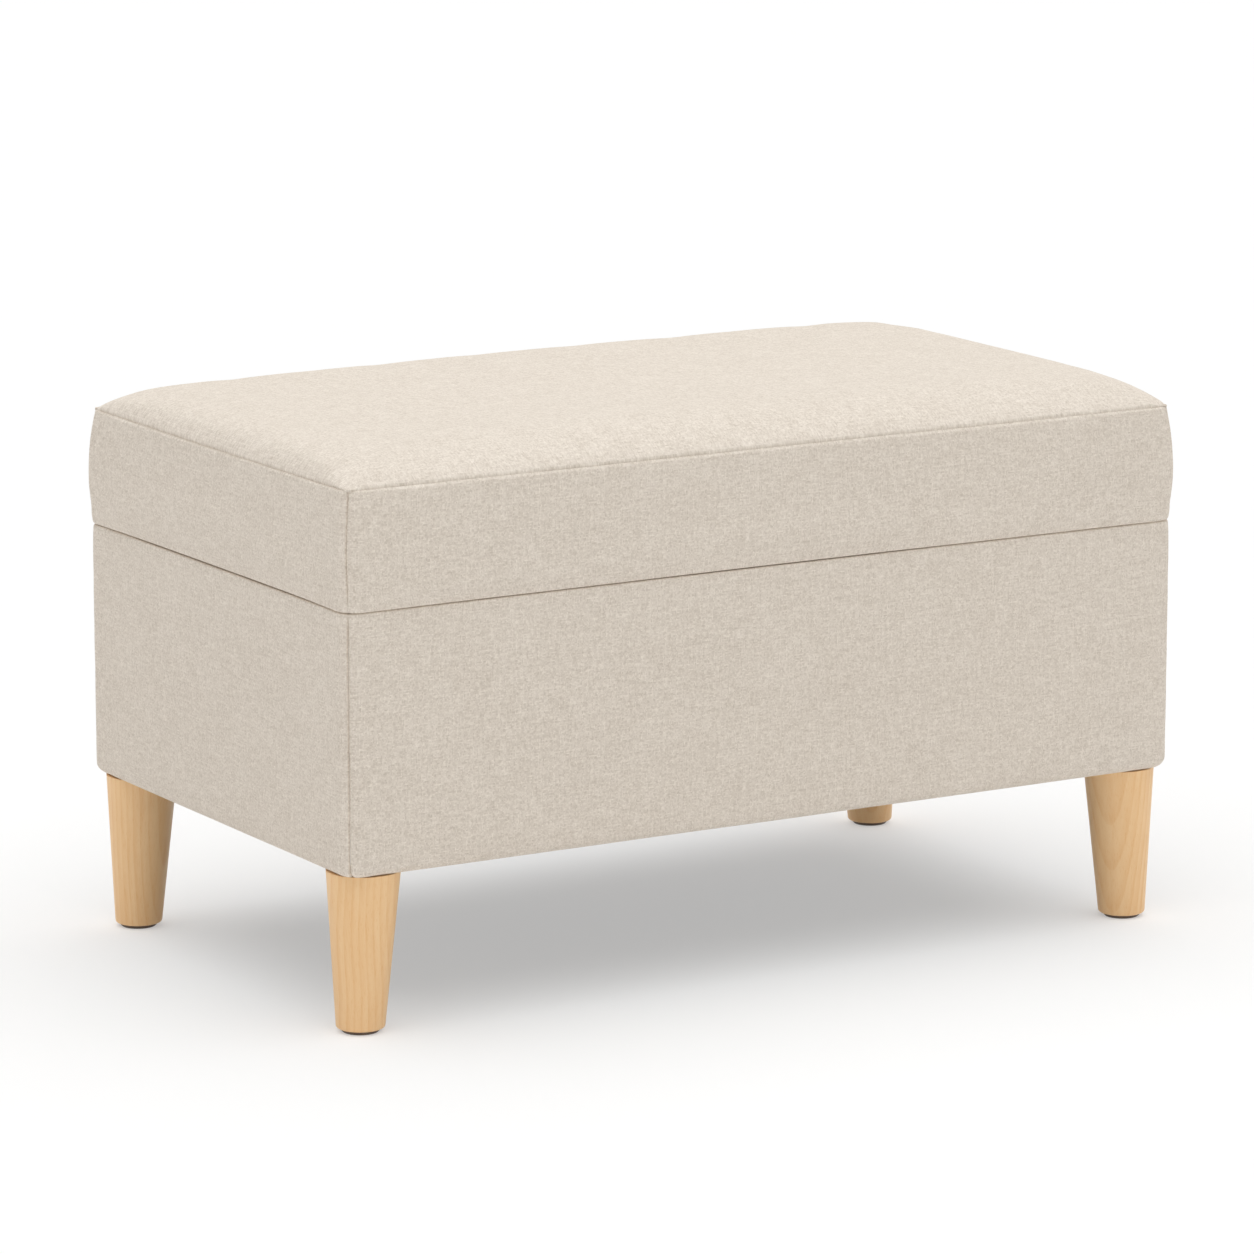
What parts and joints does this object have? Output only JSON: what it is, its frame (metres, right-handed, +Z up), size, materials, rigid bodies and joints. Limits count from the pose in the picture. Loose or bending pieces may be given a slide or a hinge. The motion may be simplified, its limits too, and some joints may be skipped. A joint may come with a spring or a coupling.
{
  "type": "storage ottoman",
  "caption": "Rectangular upholstered storage ottoman: fabric-covered box on turned tapered wooden legs, with a crowned cushion lid hinged at the back and held open by folding stays.",
  "frame": {"origin": "on the floor under the middle of the ottoman", "axes": "+X along the length to the right, +Y from the front to the hinged back, +Z up"},
  "size_m": [0.7802, 0.4542, 0.459],
  "materials": {
    "linen_fabric": "matte",
    "dust_cover_cloth": "matte",
    "wadding": "matte",
    "foam": "matte",
    "lining_cloth": "matte",
    "beech": "satin",
    "batten_wood": "matte",
    "plywood": "matte",
    "glide_plastic": "matte",
    "zinc_steel": "satin"
  },
  "bodies": {
    "base": {"back_left_batten": "batten_wood", "back_left_glide": "glide_plastic", "back_left_leg": "beech", "back_panel": "plywood", "back_right_batten": "batten_wood", "back_right_glide": "glide_plastic", "back_right_leg": "beech", "base_cover_back": "linen_fabric", "base_cover_front": "linen_fabric", "base_cover_left": "linen_fabric", "base_cover_right": "linen_fabric", "base_hinge_screws": "zinc_steel", "base_wadding": "wadding", "bottom_panel": "plywood", "carcass_screws": "zinc_steel", "dust_cover": "dust_cover_cloth", "front_left_batten": "batten_wood", "front_left_glide": "glide_plastic", "front_left_leg": "beech", "front_panel": "plywood", "front_right_batten": "batten_wood", "front_right_glide": "glide_plastic", "front_right_leg": "beech", "insert_nuts": "zinc_steel", "left_hinge_base_leaf": "zinc_steel", "left_hinge_pin": "zinc_steel", "left_panel": "plywood", "left_stay_box_bracket": "zinc_steel", "leg_bolts": "zinc_steel", "right_hinge_base_leaf": "zinc_steel", "right_hinge_pin": "zinc_steel", "right_panel": "plywood", "right_stay_box_bracket": "zinc_steel", "stay_box_rivets": "zinc_steel", "stay_box_screws": "zinc_steel", "storage_lining": "lining_cloth"},
    "lid": {"lid_board": "plywood", "lid_foam": "foam", "lid_wadding": "wadding", "lid_lining": "lining_cloth", "lid_cover_top": "linen_fabric", "lid_hinge_screws": "zinc_steel", "stay_lid_screws": "zinc_steel", "stay_lid_rivets": "zinc_steel", "lid_cover_front": "linen_fabric", "lid_cover_back": "linen_fabric", "lid_cover_left": "linen_fabric", "lid_cover_right": "linen_fabric", "left_hinge_lid_leaf": "zinc_steel", "left_stay_lid_bracket": "zinc_steel", "right_hinge_lid_leaf": "zinc_steel", "right_stay_lid_bracket": "zinc_steel"},
    "left_lower_arm": {"left_stay_lower_arm": "zinc_steel", "left_stay_elbow_rivet": "zinc_steel"},
    "left_upper_arm": {"left_stay_upper_arm": "zinc_steel"},
    "right_lower_arm": {"right_stay_lower_arm": "zinc_steel", "right_stay_elbow_rivet": "zinc_steel"},
    "right_upper_arm": {"right_stay_upper_arm": "zinc_steel"}
  },
  "joints": [
    {"name": "lid_hinge", "type": "hinge", "parent": "base", "child": "lid", "pos_m": [0, 0.2245, 0.339], "axis": [-1, 0, 0], "range_deg": [0, 95]},
    {"name": "left_stay_box_pivot", "type": "hinge", "parent": "base", "child": "left_lower_arm", "pos_m": [-0.3595, 0.1645, 0.235], "axis": [-1, 0, 0], "range_deg": [0, 95]},
    {"name": "left_stay_lid_pivot", "type": "hinge", "parent": "lid", "child": "left_upper_arm", "pos_m": [-0.3595, 0.1055, 0.325], "axis": [-1, 0, 0], "range_deg": [-95, 0]},
    {"name": "right_stay_box_pivot", "type": "hinge", "parent": "base", "child": "right_lower_arm", "pos_m": [0.3595, 0.1645, 0.235], "axis": [-1, 0, 0], "range_deg": [0, 95]},
    {"name": "right_stay_lid_pivot", "type": "hinge", "parent": "lid", "child": "right_upper_arm", "pos_m": [0.3595, 0.1055, 0.325], "axis": [-1, 0, 0], "range_deg": [-95, 0]}
  ],
  "couplings": [
    {"joint": "left_stay_box_pivot", "follows": "lid_hinge", "ratio": 1},
    {"joint": "left_stay_lid_pivot", "follows": "lid_hinge", "ratio": -1},
    {"joint": "right_stay_box_pivot", "follows": "lid_hinge", "ratio": 1},
    {"joint": "right_stay_lid_pivot", "follows": "lid_hinge", "ratio": -1}
  ]
}
